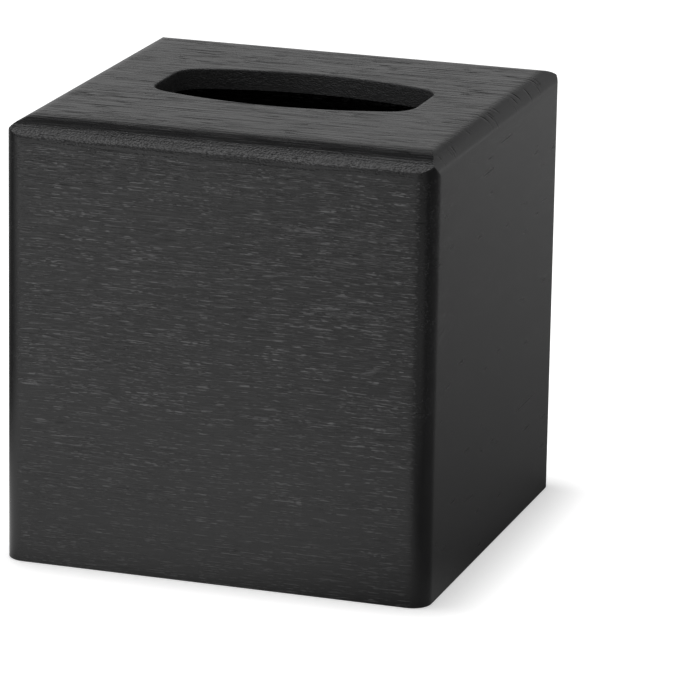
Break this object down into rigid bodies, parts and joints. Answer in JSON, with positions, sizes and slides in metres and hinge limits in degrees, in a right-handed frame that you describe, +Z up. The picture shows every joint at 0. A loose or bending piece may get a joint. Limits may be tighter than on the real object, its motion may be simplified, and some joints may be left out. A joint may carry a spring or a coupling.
{
  "type": "tissue box cover",
  "caption": "Square stained-wood tissue box cover with an open foot, mitred walls and a top board with a bowed slot and moulded edges.",
  "frame": {"origin": "on the ground, under the middle of the open foot", "axes": "+Z up, -Y out of the front board, +X along the slot's length to the right seen from the front"},
  "size_m": [0.1396, 0.1396, 0.1422],
  "materials": {
    "top_wood": "black stained open-grain wood, satin",
    "wall_wood": "black stained open-grain wood, satin"
  },
  "bodies": {
    "root": {"top_panel": "top_wood", "front_panel": "wall_wood", "right_panel": "wall_wood", "back_panel": "wall_wood", "left_panel": "wall_wood"}
  },
  "joints": []
}
